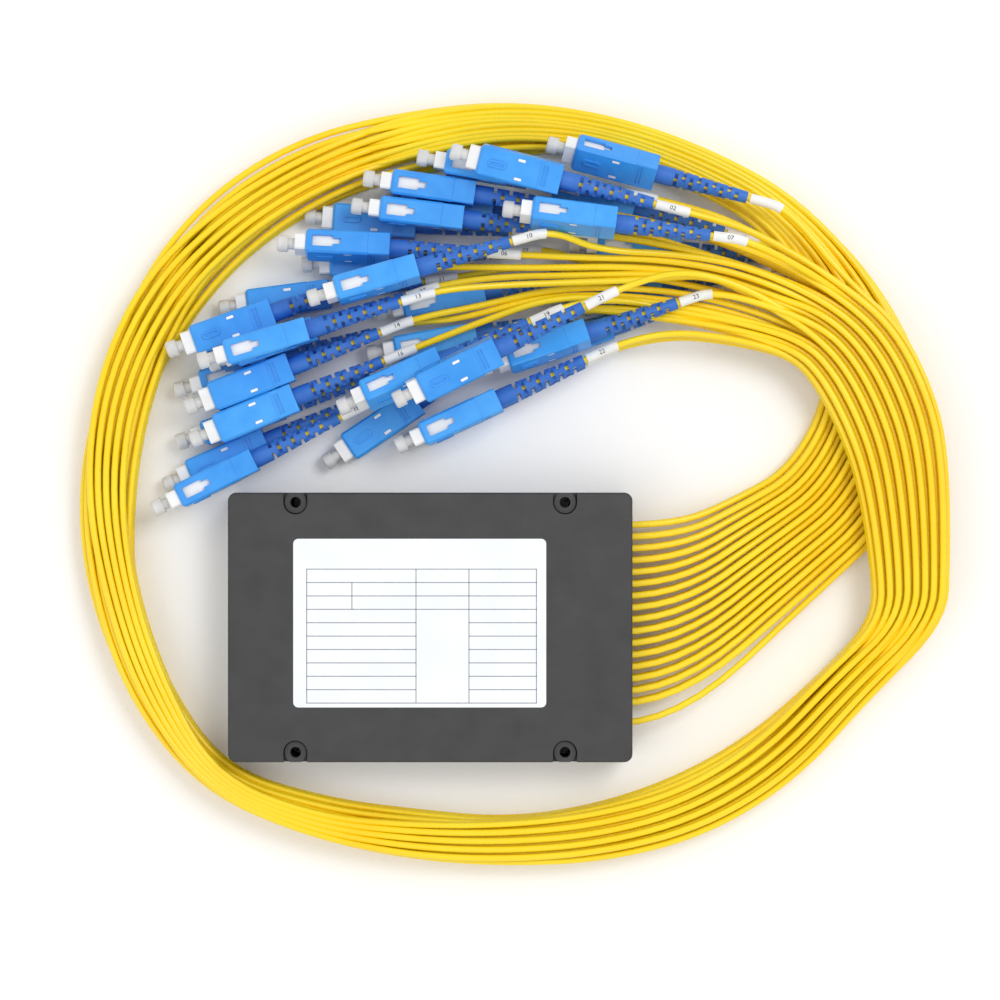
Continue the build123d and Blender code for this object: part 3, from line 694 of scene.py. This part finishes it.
def sleeve_tree():
    """Geometry nodes: a tube on the last stretch of a lead."""
    tree = bpy.data.node_groups.new("number_sleeve_on_lead", "GeometryNodeTree")
    tree.interface.new_socket("Lead", in_out="INPUT", socket_type="NodeSocketGeometry")
    for name in ("From plug end", "Sleeve length", "Sleeve radius"):
        tree.interface.new_socket(name, in_out="INPUT", socket_type="NodeSocketFloat")
    tree.interface.new_socket("Finish", in_out="INPUT", socket_type="NodeSocketMaterial")
    tree.interface.new_socket("Sleeve", in_out="OUTPUT", socket_type="NodeSocketGeometry")
    given = add_node(tree, "NodeGroupInput").outputs
    total = add_node(tree, "GeometryNodeCurveLength", links={0: given["Lead"]})
    rear = add_node(tree, "ShaderNodeMath", operation="SUBTRACT",
                    links={0: total.outputs[0], 1: given["From plug end"]})
    front = add_node(tree, "ShaderNodeMath", operation="SUBTRACT",
                     links={0: rear.outputs[0], 1: given["Sleeve length"]})
    stretch = add_node(tree, "GeometryNodeTrimCurve", mode="LENGTH", links={0: given["Lead"]})
    lengths = [socket for socket in stretch.inputs if socket.enabled and socket.type == "VALUE"]
    tree.links.new(front.outputs[0], lengths[0])
    tree.links.new(rear.outputs[0], lengths[1])
    section = add_node(tree, "GeometryNodeCurvePrimitiveCircle", values={"Resolution": 20},
                       links={"Radius": given["Sleeve radius"]})
    tube = add_node(tree, "GeometryNodeCurveToMesh", values={"Fill Caps": True},
                    links={"Curve": stretch.outputs[0], "Profile Curve": section.outputs[0]})
    real = add_node(tree, "GeometryNodeRealizeInstances", links={0: tube.outputs[0]})
    dressed = add_node(tree, "GeometryNodeSetMaterial",
                       links={"Geometry": real.outputs[0], "Material": given["Finish"]})
    add_node(tree, "NodeGroupOutput", links={0: dressed.outputs[0]})
    return tree


def sleeve_mesh(carrier, tree, finish):
    modifier = carrier.modifiers.new("sleeve", "NODES")
    modifier.node_group = tree
    given = {
        "From plug end": (sleeve_start - crimp_end) * mm,
        "Sleeve length": (sleeve_end - sleeve_start) * mm,
        "Sleeve radius": sleeve_d / 2 * mm,
        "Finish": finish,
    }
    for item in tree.interface.items_tree:
        if item.in_out == "INPUT" and item.name in given:
            modifier[item.identifier] = given[item.name]
    mesh = to_mesh(carrier)
    carrier.modifiers.remove(modifier)
    return mesh


def spot_on_line(points, from_end):
    """A place and direction on a lead, at a distance from its plug end."""
    for here, after in zip(points, points[1:]):
        run = (after - here).length
        if from_end <= run:
            return here.lerp(after, from_end / run), (after - here).normalized()
        from_end -= run
    return points[-1], (points[-1] - points[-2]).normalized()


def digits_mesh(words):
    font = bpy.data.curves.new("digits", "FONT")
    font.body = words
    font.size = digit_height * mm
    font.align_x = "CENTER"
    font.align_y = "CENTER"
    font.resolution_u = digit_font_steps
    holder = bpy.data.objects.new("digits", font)
    bpy.context.scene.collection.objects.link(holder)
    mesh = to_mesh(holder)
    bpy.data.objects.remove(holder)
    # Cut in bands along the number, so that it can bend round the sleeve
    bm = bmesh.new()
    bm.from_mesh(mesh)
    for band in range(1, digit_bands):
        height = (band / digit_bands - 0.5) * digit_height * mm
        bmesh.ops.bisect_plane(bm, geom=bm.verts[:] + bm.edges[:] + bm.faces[:], plane_co=(0, height, 0),
                               plane_no=(0, 1, 0))
    bm.to_mesh(mesh)
    bm.free()
    return mesh


def wrap_digits(bm, words, line, from_end):
    """The number, bent along and round the top of its sleeve."""
    forward = 1 if spot_on_line(line, from_end)[1].x > 0 else -1
    radius = (sleeve_d / 2 + digit_gap) * mm
    mesh = digits_mesh(words)
    for vertex in mesh.vertices:
        spot, along = spot_on_line(line, from_end + forward * vertex.co.x)
        along = along * forward
        up = (Vector((0, 0, 1)) - along * along.z).normalized()
        angle = vertex.co.y / radius
        vertex.co = spot + (up * cos(angle) + up.cross(along) * sin(angle)) * radius
    bm.from_mesh(mesh)
    bpy.data.meshes.remove(mesh)


def make_number_sleeves(leads, sleeve_finish, ink):
    tree = sleeve_tree()
    sleeves = bmesh.new()
    numbers = bmesh.new()
    middle_of_sleeve = ((sleeve_start + sleeve_end) / 2 - crimp_end) * mm
    for number, lead in enumerate(leads):
        carrier = bare_line(lead)
        line = [vertex.co.copy() for vertex in to_mesh(carrier).vertices][::-1]
        sleeves.from_mesh(sleeve_mesh(carrier, tree, sleeve_finish))
        if number:
            wrap_digits(numbers, f"{number:02d}", line, middle_of_sleeve)
        bpy.data.objects.remove(carrier)
    piece = new_piece("number_sleeves_on_leads", sleeves, sleeve_finish)
    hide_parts("number_sleeves")
    new_piece("sleeve_numbers", numbers, ink)


# Finishes of the CAD nodes

def dress_nodes(nodes):
    finishes = {
        "base_shell": moulded_abs(),
        "spec_label": coated_label(),
        "splitter_sleeve": stainless_tube(),
        "sleeve_end_plugs": sealing_rubber(),
        "plc_chip": silica(),
        "input_fibre": coated_fibre(),
        "adhesive_pad": foam_tape(),
        "plug_frames": white_pbt(),
        "ferrules": zirconia(),
        "dust_caps": soft_cap(),
        "crimp_bodies": nickel_plate(),
        "boots": soft_boot(),
    }
    same = {
        "lid": "base_shell",
        "exit_comb": "base_shell",
        "input_fibre_block": "plc_chip",
        "output_fibre_block": "plc_chip",
        "output_ribbons": "input_fibre",
        "crimp_rings": "crimp_bodies",
    }
    for name, finish in finishes.items():
        set_finish(nodes[name], finish)
    for name, other in same.items():
        set_finish(nodes[name], finishes[other])
    blues = [moulded_pbt(number) for number in range(3)]
    for number in range(1, len(heap) + 1):
        set_finish(nodes[f"grip_{number:02d}"], blues[number % 3])


# Scene

for leftover in list(bpy.data.objects):
    bpy.data.objects.remove(leftover)
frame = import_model()
nodes = frame["nodes"]

make_camera()
make_studio()
make_floor(paper_floor())
jacket = pvc_jacket()
leads = []
for number, entry in enumerate(heap, start=1):
    leads.append(make_lead(number, entry, jacket))
make_number_sleeves(leads, sleeve_pvc(), print_ink())
make_label_table(printed_rule())
white_mark = mark_paint()
for number, entry in enumerate(heap, start=1):
    make_grip_marks(number, entry, white_mark)
dress_nodes(nodes)
